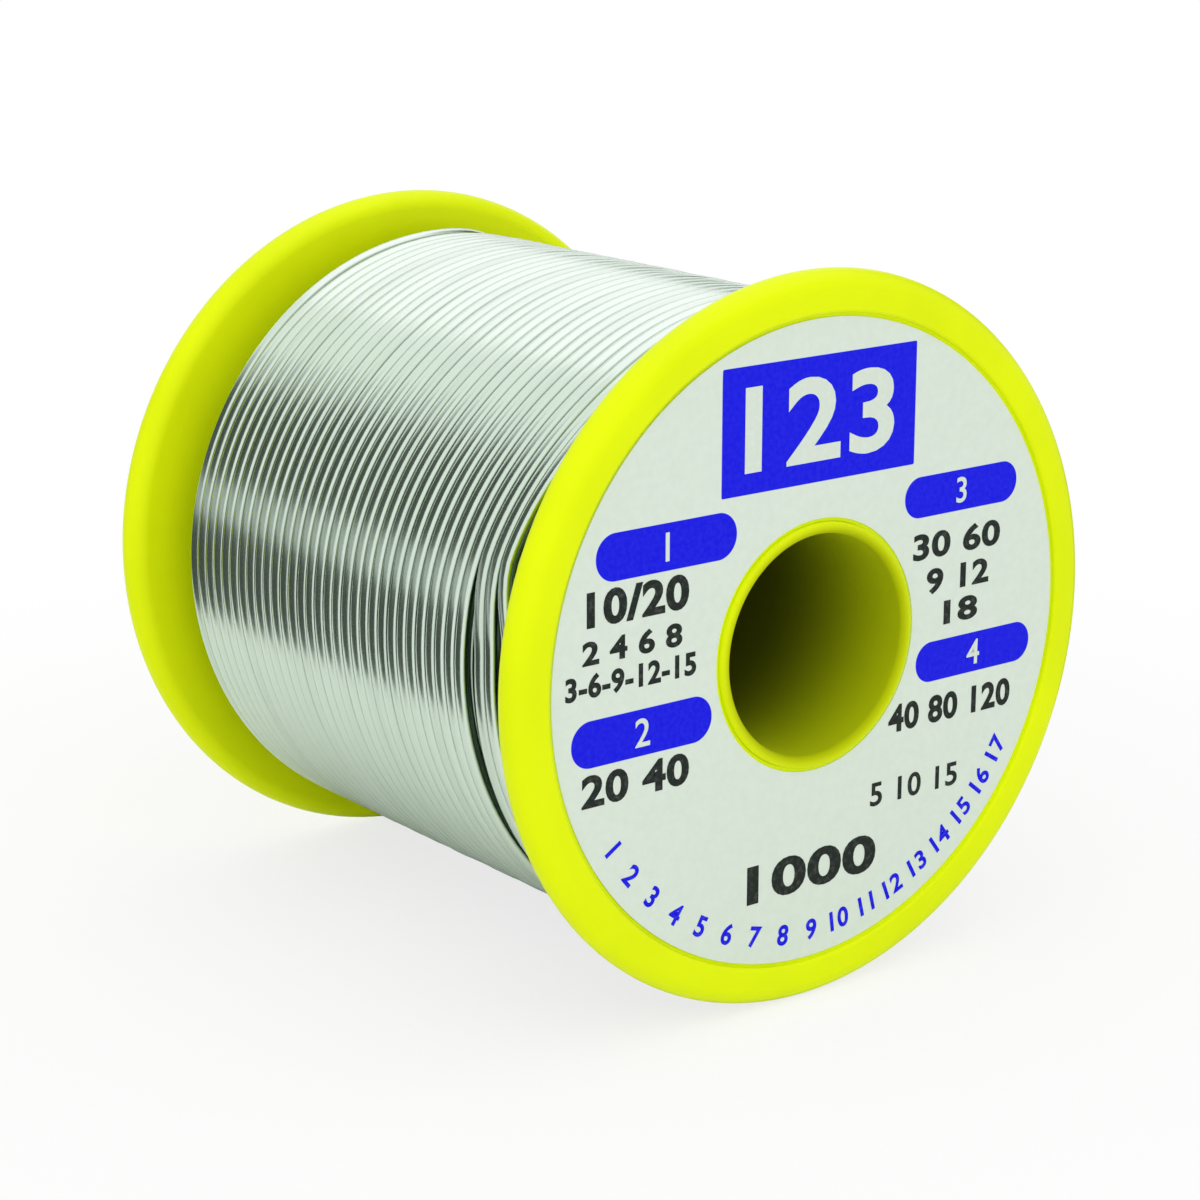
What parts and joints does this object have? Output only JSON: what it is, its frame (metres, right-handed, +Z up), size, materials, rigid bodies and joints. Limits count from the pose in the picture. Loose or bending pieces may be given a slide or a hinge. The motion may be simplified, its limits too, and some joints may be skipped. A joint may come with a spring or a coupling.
{
  "type": "solder wire spool",
  "caption": "Flanged plastic spool, level-wound with flux-cored solder wire, with a round paper label on one flange and a bore for a spindle.",
  "frame": {"origin": "the middle of the spindle bore, which the reel hangs on in use", "axes": "+Y runs along the bore from the labelled front flange to the rear flange, so the label faces -Y; +Z is up, towards the label's top; +X is to the right for someone who reads the label"},
  "size_m": [0.056, 0.056, 0.056],
  "materials": {
    "spool_plastic": "satin moulded polystyrene, neon yellow-green",
    "label_paper": "matt printed paper",
    "solder_wire": "drawn tin-lead solder, soft metallic sheen",
    "flux": "amber rosin flux"
  },
  "bodies": {
    "root": {"front_flange": "spool_plastic", "rear_flange": "spool_plastic", "barrel": "spool_plastic", "label": "label_paper", "wire_start": "solder_wire", "wire_layer_01": "solder_wire", "wire_layer_02": "solder_wire", "wire_layer_03": "solder_wire", "wire_layer_04": "solder_wire", "wire_layer_05": "solder_wire", "wire_layer_06": "solder_wire", "wire_layer_07": "solder_wire", "wire_layer_08": "solder_wire", "wire_layer_09": "solder_wire", "wire_layer_10": "solder_wire", "wire_layer_11": "solder_wire", "wire_layer_12": "solder_wire", "wire_layer_13": "solder_wire", "wire_layer_14": "solder_wire", "wire_last_turns": "solder_wire", "wire_free_end": "solder_wire", "flux_core": "flux"}
  },
  "joints": []
}
